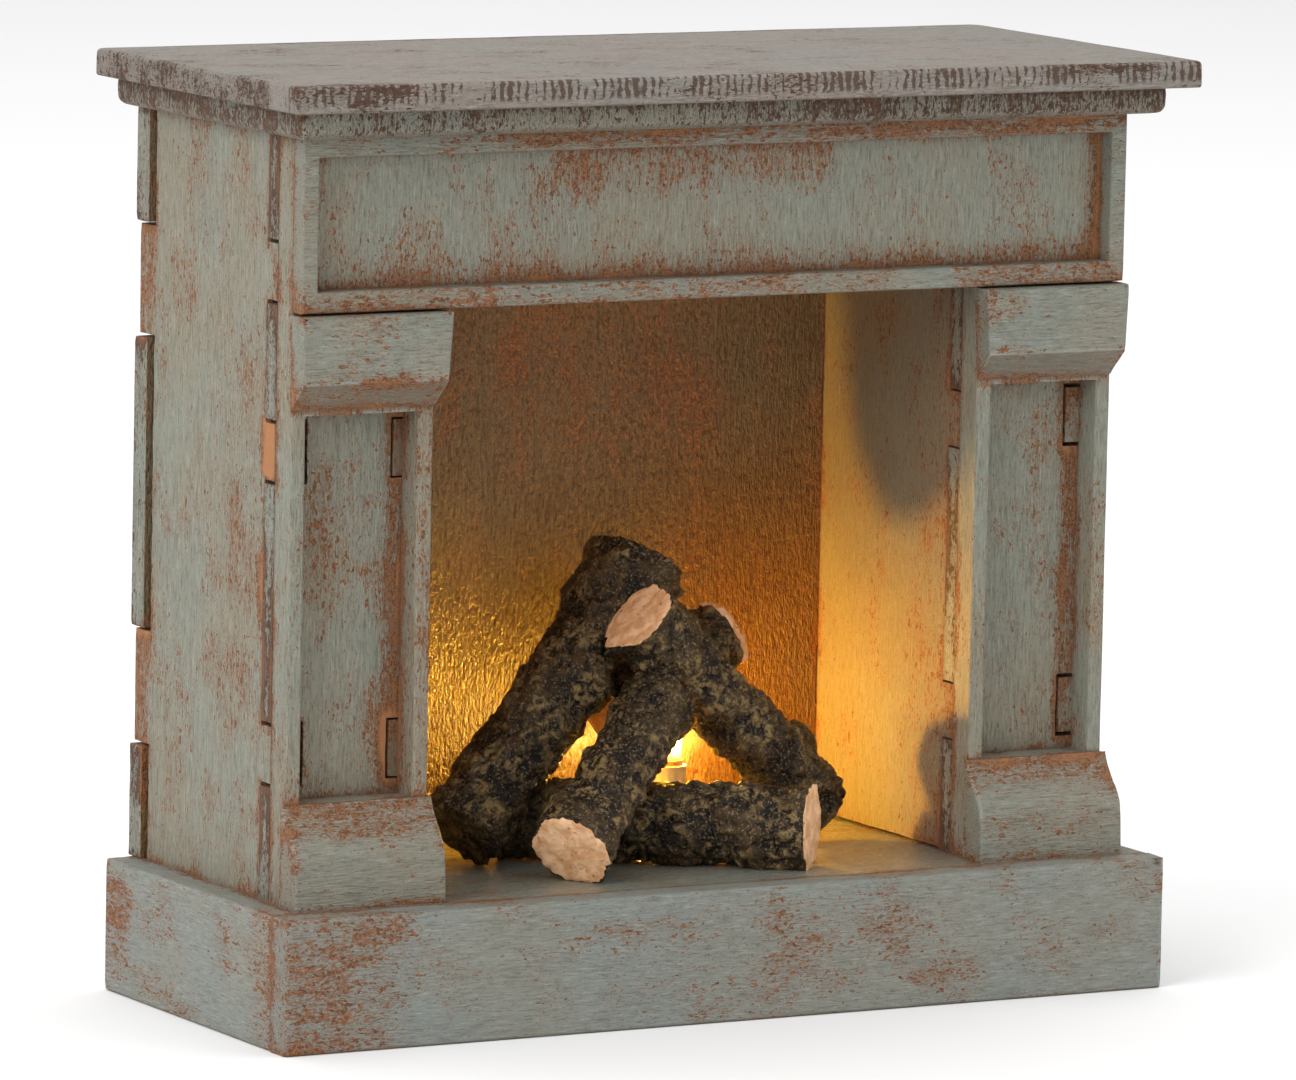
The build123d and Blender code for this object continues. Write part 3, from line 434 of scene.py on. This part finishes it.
# Cuts keep this far from a board's own faces.
CUT_CLEARANCE = 0.3 * MM
CONVEX = radians(10)
SOFT_EDGE = radians(32)
SEED_STEP = 61.0
# Distances to an edge or a seam are kept up to this many millimetres.
FAR = 9.0
# Material slots of a board.
PAINT, FIREBACK, PLY_EDGE = 0, 1, 2


def cut_places(low, high, pitch, planes):
    """Where to cut between low and high: at the given planes, and evenly between them."""
    marks = [low] + sorted(p for p in planes if low + CUT_CLEARANCE < p < high - CUT_CLEARANCE) + [high]
    places = []
    for a, b in zip(marks, marks[1:]):
        steps = max(1, round((b - a) / pitch))
        places += [a + (b - a) * k / steps for k in range(steps)]
    return places[1:]


def gridded(node, pitch, planes):
    """The CAD node's mesh, cleaned and cut into a grid of about pitch."""
    bm = bmesh.new()
    bm.from_mesh(frame["nodes"][node].data)
    bmesh.ops.remove_doubles(bm, verts=bm.verts, dist=1e-6)
    bmesh.ops.dissolve_limit(bm, angle_limit=radians(0.5), verts=bm.verts, edges=bm.edges)
    low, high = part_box(node)
    for axis in (X, Y, Z):
        normal = Vector([float(k == axis) for k in range(3)])
        for place in cut_places(low[axis], high[axis], pitch, planes[axis]):
            whole = bm.verts[:] + bm.edges[:] + bm.faces[:]
            bmesh.ops.bisect_plane(bm, geom=whole, dist=1e-7, plane_co=normal * place, plane_no=normal)
    bmesh.ops.triangulate(bm, faces=[f for f in bm.faces if len(f.verts) > 4])
    bm.normal_update()
    return bm


def convex_points(bm, spacing):
    """Points along every convex edge of the mesh."""
    points = []
    for edge in bm.edges:
        if len(edge.link_faces) == 2 and edge.is_convex and edge.calc_face_angle(0.0) > CONVEX:
            a, b = (v.co for v in edge.verts)
            steps = max(1, int((b - a).length / spacing))
            points += [a.lerp(b, k / steps) for k in range(steps + 1)]
    return points


def nearest(points):
    tree = KDTree(len(points))
    for k, point in enumerate(points):
        tree.insert(point, k)
    tree.balance()
    return tree


def ripple(place, size, seed):
    """Smooth noise from -1 to 1 with bumps about size across."""
    return noise.noise(place / size + Vector((seed, seed * 0.7, seed * 1.3)))


# Places rubbed harder than the rest: board, low corner, high corner, falloff and strength, in millimetres.
RUBBED = [
    ("mantel_shelf", (-94, -42, 173), (-72, -40, 175), 3.0, 0.15),
    ("mantel_shelf", (60, -42, 174), (84, -41, 175), 2.0, 0.20),
    ("mantel_shelf", (-60, 40, 173), (50, 42, 175), 1.6, 0.16),
    ("mantel_shelf", (-95, -30, 170), (-94, 40, 174), 1.5, 0.12),
    ("cornice_board", (5, -36, 166), (90, -34, 169), 1.5, 0.12),
    ("cornice_board", (-90, -36, 166), (5, -34, 169), 1.5, 0.06),
    ("cornice_board", (-91, -34, 166), (-90, 38, 169), 1.5, 0.14),
    ("frieze_frame", (-45, -29, 162), (86, -24, 165), 2.0, 0.17),
    ("frieze_frame", (-86, -29, 132), (-48, -24, 136), 2.0, 0.15),
    ("frieze_frame", (-48, -29, 133), (35, -24, 136), 2.5, 0.11),
    ("frieze_frame", (50, -29, 132), (86, -24, 136), 2.0, 0.13),
    ("portal_board", (-32, -25, 156), (22, -24, 161), 7.0, 0.13),
    ("portal_board", (-70, -25, 137), (86, -24, 138), 4.5, 0.14),
    ("portal_board", (81, -25, 137), (83, -24, 161), 1.6, 0.26),
    ("portal_board", (-60, -25, 25), (-57, -18, 132), 2.0, 0.09),
    ("front_panel", (-63, -19, 45), (-60, -18, 114), 1.6, 0.22),
    ("front_panel", (-66, -19, 46), (-62, -18, 62), 3.0, 0.07),
    ("front_panel", (-78, -19, 84), (-70, -18, 102), 7.0, 0.08),
    ("front_panel", (80, -19, 45), (83, -18, 114), 1.6, 0.18),
    ("front_panel", (-87, -19, 25), (-86, -14, 165), 1.0, 0.03),
    ("side_panel_left", (-87, -16, 58), (-86, 0, 122), 9.0, 0.07),
    ("side_panel_left", (-87, 33, 46), (-86, 38, 68), 2.0, 0.17),
    ("side_panel_left", (-87, 33, 122), (-86, 38, 143), 2.0, 0.15),
    ("side_panel_left", (-87, -19, 102), (-86, -14, 112), 0.4, 0.50),
    ("back_panel", (-88, 33, 25), (-86, 38, 165), 0.6, 0.03),
    ("back_panel", (-88, 33, 44), (-87, 38, 68), 2.0, 0.08),
    ("back_panel", (-88, 33, 120), (-87, 38, 144), 2.0, 0.10),
    ("back_panel", (0, 32, 100), (26, 34, 122), 14.0, 0.11),
    ("back_panel", (-30, 32, 104), (-10, 34, 122), 12.0, 0.07),
    ("firebox_wall_right", (57, -15, 26), (58, -8, 132), 5.0, 0.08),
    ("plinth_front", (-92, -39, 0), (-72, -38, 22), 8.0, 0.12),
    ("plinth_front", (-25, -39, 6), (45, -38, 18), 9.0, 0.05),
    ("plinth_side_left", (-93, -34, 0), (-92, -26, 24), 5.0, 0.11),
    ("plinth_side_left", (-93, 28, 6), (-92, 37, 20), 5.0, 0.13),
    ("pillar_base_left", (-87, -32, 39), (-56, -24, 44), 2.5, 0.12),
    ("pillar_base_right", (56, -32, 39), (87, -24, 44), 2.5, 0.12),
    ("pillar_cap_left", (-87, -30, 114), (-56, -24, 120), 2.0, 0.06),
]

# Painted glow of the LED on the fireback, in the same form.
PAINTED_GLOW_BOXES = [
    ("back_panel", (-57, 32, 25), (-34, 34, 48), 42.0, 1.1),
    ("back_panel", (40, 32, 25), (57, 34, 72), 34.0, 1.0),
]


def strength_at(places, node, place):
    """Summed strength of the listed boxes at a place on a board."""
    total = 0.0
    for board, low, high, falloff, strength in places:
        if board == node:
            off = [max(a - p, p - b, 0.0) for a, p, b in zip(low, place / MM, high)]
            total += strength * max(0.0, 1.0 - Vector(off).length / falloff)
    return total


def weathered(node, seed, solids, planes):
    """A hand-sanded copy of a painted board: softly uneven faces, edges worn by uneven amounts."""
    block = node.startswith("pillar")
    bm = gridded(node, BLOCK_PITCH if block else BOARD_PITCH, planes)
    tree = nearest(convex_points(bm, 0.4 * MM))
    others = BVHTree.FromPolygons(*solids_without(node, solids))
    edge_layer = bm.verts.layers.float.new("edge")
    seam_layer = bm.verts.layers.float.new("seam")
    rub_layer = bm.verts.layers.float.new("rub")
    painted_glow_layer = bm.verts.layers.float.new("painted_glow")
    seed_layer = bm.verts.layers.float.new("seed")
    moves = {}
    for v in bm.verts:
        edge = tree.find(v.co)[2] / MM
        hit = others.find_nearest(v.co, FAR * MM)
        seam = hit[3] / MM if hit[0] is not None else FAR
        v[edge_layer] = min(edge, FAR)
        v[seam_layer] = min(seam, FAR)
        v[rub_layer] = strength_at(RUBBED, node, v.co)
        # Share of the LED's glow painted into the colour here.
        v[painted_glow_layer] = min(1.0, strength_at(PAINTED_GLOW_BOXES, node, v.co))
        v[seed_layer] = SEED_STEP * seed
        worn = max(0.0, 1.0 - edge / 0.9)
        rub = 0.5 + 0.5 * ripple(v.co, 5 * MM, seed) + 0.35 * ripple(v.co, 1.6 * MM, seed + 9)
        free = min(1.0, seam / 0.5)
        drop = 0.05 * ripple(v.co, 11 * MM, seed + 3) - 0.20 * worn * max(0.0, rub) * free
        moves[v] = v.normal * drop * MM
    for v, move in moves.items():
        v.co += move
    for edge in bm.edges:
        edge.smooth = edge.calc_face_angle(pi) < SOFT_EDGE
    for face in bm.faces:
        face.smooth = True
        face.material_index = finish_of(node, face.normal)
    mesh = bpy.data.meshes.new(node + "_painted")
    bm.to_mesh(mesh)
    bm.free()
    return mesh


def finish_of(node, normal):
    """Which of a board's material slots a face takes."""
    if node == "back_panel" and normal.y < -0.9:
        return FIREBACK
    if node in ("back_panel", "front_panel") and abs(normal.x) > 0.9:
        return PLY_EDGE
    return PAINT


def solids_without(node, solids):
    """Vertices and polygons of every board but this one, as one pair of lists."""
    points, faces = [], []
    for name, (own_points, own_faces) in solids.items():
        if name != node:
            start = len(points)
            points += own_points
            faces += [[start + k for k in face] for face in own_faces]
    return points, faces


def grain_of(node):
    """The axis that a board's grain and brush strokes follow."""
    upright = ("side_panel", "firebox_wall", "back_panel", "front_panel", "portal_board")
    if node.startswith(upright):
        return Z
    if node.startswith("plinth_side"):
        return Y
    return X


def build_boards():
    """Every painted board, replaced by its weathered copy."""
    orange_wood = (RUST, RUST_PALE, RUST_DEEP)
    dark_wood = (UMBER, RUST, UMBER_DEEP)
    paints = {
        X: distressed_paint("paint_grain_x", X, SAGE, orange_wood),
        Y: distressed_paint("paint_grain_y", Y, SAGE, orange_wood),
        Z: distressed_paint("paint_grain_z", Z, WARM_SAGE, orange_wood),
    }
    firebox_paint = distressed_paint("paint_firebox", Z, FIREBOX_SAGE, orange_wood)
    plinth_side = distressed_paint("paint_plinth_y", Y, COOL_SAGE, orange_wood)
    special = {
        "mantel_shelf": distressed_paint("paint_top", X, TAUPE, dark_wood, ridged="mantel_shelf"),
        "cornice_board": distressed_paint("paint_cornice", Z, SAGE, dark_wood, wear=0.03),
        "hearth_board": distressed_paint("paint_hearth", X, SAGE, orange_wood, 0.27, 0.45, specular=0.6),
        "plinth_front": distressed_paint("paint_plinth_x", X, COOL_SAGE, orange_wood),
        "plinth_side_left": plinth_side,
        "plinth_side_right": plinth_side,
        "firebox_wall_left": firebox_paint,
        "firebox_wall_right": firebox_paint,
    }
    fireback = distressed_paint("paint_fireback", Z, FIREBACK_GLOW_SAGE, orange_wood, rough=0.24, hammered=0.80)
    ply_edge = distressed_paint("paint_ply_edge", Z, SAGE, dark_wood, wear=0.03)
    solids = {}
    planes = [set(), set(), set()]
    for node in PAINTED:
        data = frame["nodes"][node].data
        solids[node] = ([v.co.copy() for v in data.vertices], [list(p.vertices) for p in data.polygons])
        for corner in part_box(node):
            for axis in (X, Y, Z):
                planes[axis].add(round(corner[axis], 5))
    for seed, node in enumerate(PAINTED):
        mesh = weathered(node, seed + 1.0, solids, planes)
        for material in (special.get(node, paints[grain_of(node)]), fireback, ply_edge):
            mesh.materials.append(material)
        add_piece(node + "_painted", mesh, frame["nodes"][node]["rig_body"], node)


def add_piece(name, mesh, body, *nodes):
    """A new piece riding on a body in the place of CAD nodes."""
    piece = bpy.data.objects.new(name, mesh)
    bpy.context.scene.collection.objects.link(piece)
    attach(piece, body)
    if nodes:
        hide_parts(*nodes)
    return piece


# ------------------------------------------------------------------ logs
# Axis ends and radii in millimetres. As in the CAD, but the right log turns its low end 5 mm forward.
LOGS = {
    "log_left": ((-36.5, 0.5, 31.4), (8.4, 17.5, 76.5), 8.5),
    "log_floor": ((23.9, -23.5, 32.7), (-23.5, 10.1, 32.7), 7.8),
    "log_right": ((-1.0, -0.5, 70.0), (40.9, 2.7, 31.3), 7.3),
    "log_front": ((-26.2, -22.4, 31.5), (3.6, -1.5, 54.5), 7.2),
    "log_rear": ((29.2, 21.4, 62.2), (0.0, 13.2, 50.2), 6.9),
}
# How much wider each log is than its radius, at shares of its length from the first end, in millimetres.
GIRTHS = {
    "log_left": ((0.0, 0.0), (0.25, -0.3), (0.72, -0.3), (0.88, 1.2), (1.0, 1.5)),
    "log_floor": ((0.0, 0.2), (0.3, -0.2), (1.0, 0.0)),
    "log_right": ((0.0, 1.0), (0.1, 0.4), (0.3, -0.3), (0.8, 0.2), (1.0, -0.4)),
    "log_front": ((0.0, 1.0), (0.12, 0.4), (0.35, -0.3), (1.0, 0.0)),
    "log_rear": ((0.0, 0.0), (1.0, 0.0)),
}
# Knots: log, middle, height and half width in millimetres.
KNOTS = [
    ("log_left", (-6.5, 5.0, 55.0), 2.4, 4.5),
    ("log_left", (11.0, 8.0, 79.0), 2.4, 4.5),
    ("log_right", (36.9, 6.7, 42.8), 5.0, 5.0),
    ("log_right", (12.0, -4.0, 62.0), 1.2, 4.0),
    ("log_front", (-8.0, -18.0, 50.0), 1.2, 3.5),
    ("log_floor", (8.0, -20.0, 38.0), 1.2, 4.0),
]
# How far the first end's cut slopes back toward the front left: run over rise.
SAW_SLANT = {"log_floor": 0.13}
FRONT_LEFT = Vector((-0.485, -0.875, 0.0))
# Logs flatten over this height above the hearth, down to a little below its top.
SETTLE, SINK = 1.8 * MM, 0.1 * MM
AROUND = 144
RING_STEP = 0.5 * MM
# Material slots of a log, how far a log shows bare wood behind its sawn end, and the end that is dark.
BARK, CUT = 0, 1
BARE_RIM = {"log_rear": 1.3 * MM}
DARK_END = ("log_left", -1)
# A sawn end's rings, as shares of its radius.
END_RINGS = 0.965, 0.93, 0.8, 0.65, 0.5, 0.35, 0.2, 0.08


def girth(node, share):
    """Extra radius of a log at a share of its length, in millimetres."""
    marks = GIRTHS[node]
    return float(np.interp(share, [m[0] for m in marks], [m[1] for m in marks]))


def knots(node, place):
    """Height of the knots at a place on a log, in millimetres."""
    total = 0.0
    for log, middle, height, half in KNOTS:
        if log == node:
            away = (place / MM - Vector(middle)).length / half
            total += height * max(0.0, 1.0 - away * away) ** 0.7
    return total


def bark_relief(place, seed):
    """Height of the bark in millimetres: lumps, plates with cracks between them, and fine grit."""
    lumps = ripple(place, 8 * MM, seed) + 0.5 * ripple(place, 4.5 * MM, seed + 2)
    plates = abs(ripple(place, 3.0 * MM, seed + 5)) + 0.5 * abs(ripple(place, 1.5 * MM, seed + 7))
    grit = ripple(place, 0.8 * MM, seed + 11)
    return 1.1 * lumps + 1.3 * (plates - 0.35) + 0.3 * grit


def bark_log(node, seed, materials):
    """One log: a lumpy bark tube with sawn ends."""
    start, end, radius = LOGS[node]
    a, b = Vector(start) * MM, Vector(end) * MM
    axis = (b - a).normalized()
    side = axis.orthogonal().normalized()
    other = axis.cross(side)
    length = (b - a).length
    rings = int(length / RING_STEP)
    bare_rim = BARE_RIM.get(node, 0.0)
    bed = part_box("hearth_board")[1].z - SINK
    bm = bmesh.new()
    relief_layer = bm.verts.layers.float.new("relief")
    seed_layer = bm.verts.layers.float.new("seed")

    def ring(t, shrink, depth):
        """One ring of vertices at t along the axis, its radius scaled by shrink."""
        made = []
        for k in range(AROUND):
            turn = 2 * pi * k / AROUND
            out = side * cos(turn) + other * sin(turn)
            centre = a + axis * (length * t)
            place = centre + out * radius * MM
            height = bark_relief(place, seed) + girth(node, t) + knots(node, place)
            wide = (radius - 0.5 + height) * MM
            slope = SAW_SLANT.get(node, 0.0) * max(0.0, 1.0 - t / 0.2) * out.dot(FRONT_LEFT)
            v = bm.verts.new(centre + out * wide * shrink + axis * (depth + slope * wide * shrink))
            rise = max(0.0, v.co.z - bed) / SETTLE
            if rise < 1.0:
                v.co.z = bed + SETTLE * rise ** 3
            v[relief_layer] = 0.5 + 0.30 * bark_relief(place, seed)
            v[seed_layer] = SEED_STEP * seed
            made.append(v)
        return made

    def skin(one, two, material):
        for k in range(AROUND):
            j = (k + 1) % AROUND
            face = bm.faces.new((one[k], one[j], two[j], two[k]))
            face.material_index = material
            face.smooth = True

    tube = [ring(k / rings, 1.0, 0.0) for k in range(rings + 1)]
    for k, (one, two) in enumerate(zip(tube, tube[1:])):
        skin(one, two, CUT if k * RING_STEP < bare_rim else BARK)
    for t, outward, rim in ((0.0, -1, tube[0]), (1.0, 1, tube[-1])):
        previous = rim
        face = BARK if (node, outward) == DARK_END else CUT
        for k, shrink in enumerate(END_RINGS):
            depth = outward * (0.25 if k else 0.12) * MM
            inner = ring(t, shrink, depth)
            for v in inner:
                v.co += axis * outward * 0.22 * MM * ripple(v.co, 1.8 * MM, seed + 21)
            if outward > 0:
                skin(previous, inner, face if k else BARK)
            else:
                skin(inner, previous, face if k else BARK)
            previous = inner
        cap = bm.faces.new(previous if outward > 0 else list(reversed(previous)))
        cap.material_index = face
    bm.normal_update()
    mesh = bpy.data.meshes.new(node + "_bark")
    bm.to_mesh(mesh)
    bm.free()
    for material in materials:
        mesh.materials.append(material)
    add_piece(node + "_bark", mesh, frame["nodes"][node]["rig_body"], node)


def build_logs():
    """Every log, replaced by one with bark."""
    materials = [bark("bark"), cut_wood("cut_wood")]
    for seed, node in enumerate(LOGS):
        bark_log(node, 40.0 + seed, materials)


# ------------------------------------------------------------------ carried-over CAD nodes
def dress_cad_nodes():
    """Procedural finishes on the CAD nodes that keep their own shape."""
    finishes = {
        "bare_wood": bare_ply("bare_ply"),
        "white_plastic": moulded_plastic("white_plastic", (0.78, 0.76, 0.70)),
        "black_plastic": moulded_plastic("black_plastic", (0.012, 0.012, 0.013)),
        "cell_jacket": cell_sleeve("cell_sleeve"),
        "plated_contact": plated_metal("nickel", (0.70, 0.68, 0.62)),
        "steel": plated_metal("zinc_steel", (0.55, 0.55, 0.54), 0.34),
        "led_lens": lit_lens("led_lens"),
        "red_lead": lead_insulation("red_lead", (0.42, 0.015, 0.012)),
        "black_lead": lead_insulation("black_lead", (0.015, 0.015, 0.015)),
    }
    for part in frame["record"]["subparts"]:
        node, slot = part["node"], part["material_slot"]
        if slot in finishes:
            data = frame["nodes"][node].data
            data.materials.clear()
            data.materials.append(finishes[slot])


# ------------------------------------------------------------------ studio
def area_light(name, at, target, size, watts, colour=(1.0, 1.0, 1.0)):
    data = bpy.data.lights.new(name, "AREA")
    data.size = size
    data.energy = watts
    data.color = colour
    light = bpy.data.objects.new(name, data)
    light.location = at
    light.rotation_euler = (Vector(target) - Vector(at)).to_track_quat("-Z", "Y").to_euler()
    bpy.context.scene.collection.objects.link(light)


def build_studio():
    floor = bmesh.new()
    bmesh.ops.create_grid(floor, x_segments=8, y_segments=8, size=3.0)
    mesh = bpy.data.meshes.new("floor")
    floor.to_mesh(mesh)
    floor.free()
    s = Shader("floor")
    mesh.materials.append(s.finish((0.90, 0.90, 0.90), 0.8, specular=0.1))
    ground = bpy.data.objects.new("floor", mesh)
    bpy.context.scene.collection.objects.link(ground)
    world = bpy.data.worlds.new("world")
    world.use_nodes = True
    world.node_tree.nodes["Background"].inputs["Color"].default_value = (1, 1, 1, 1)
    world.node_tree.nodes["Background"].inputs["Strength"].default_value = 0.60
    bpy.context.scene.world = world
    middle = (0, 0, 0.09)
    area_light("key", (-1.3, -0.5, 0.8), middle, 0.9, 13.0)
    area_light("fill", (1.1, -1.3, 0.7), middle, 1.0, 4)
    area_light("top", (0.3, 0.6, 2.2), (0.3, 0.6, 0), 3.2, 44)


def point_light(name, at, size, colour, watts):
    """A small round light with the natural falloff."""
    data = bpy.data.lights.new(name, "POINT")
    data.energy = watts
    data.color = colour
    data.shadow_soft_size = size
    light = bpy.data.objects.new(name, data)
    light.location = at
    bpy.context.scene.collection.objects.link(light)
    return data


def glow_light(name, at, size, strength):
    """A warm point light that fades slowly, so that the far walls still catch it."""
    data = point_light(name, at, size, GLOW, 1.0)
    data.use_nodes = True
    nodes, links = data.node_tree.nodes, data.node_tree.links
    falloff = nodes.new("ShaderNodeLightFalloff")
    falloff.inputs["Strength"].default_value = strength
    links.new(falloff.outputs["Linear"], nodes["Emission"].inputs["Strength"])


def build_glow():
    """The light of the LED at the top of its dome, its scatter among the logs, and two hot spots."""
    low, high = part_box("led")
    dome = Vector(((low.x + high.x) / 2, (low.y + high.y) / 2, high.z - 1.0 * MM))
    glow_light("led_glow", dome, 1.2 * MM, 4.9)
    glow_light("led_scatter", dome - Vector((15 * MM, 1.5 * MM, 3 * MM)), 2.5 * MM, 0.8)
    right = dome + Vector((4.5 * MM, 2.5 * MM, -3.5 * MM))
    left = dome + Vector((-17 * MM, 2.5 * MM, -2.5 * MM))
    point_light("led_halo_right", right, 1.2 * MM, GLOW_HOT, 2.5 * HALO_WATTS)
    point_light("led_halo_left", left, 1.2 * MM, GLOW_HOT, 0.5 * HALO_WATTS)
    # The lens would otherwise shade the light inside it.
    frame["nodes"]["led"].visible_shadow = False


bpy.context.scene.view_settings.view_transform = "Standard"
add_camera()
build_boards()
build_logs()
dress_cad_nodes()
build_studio()
build_glow()
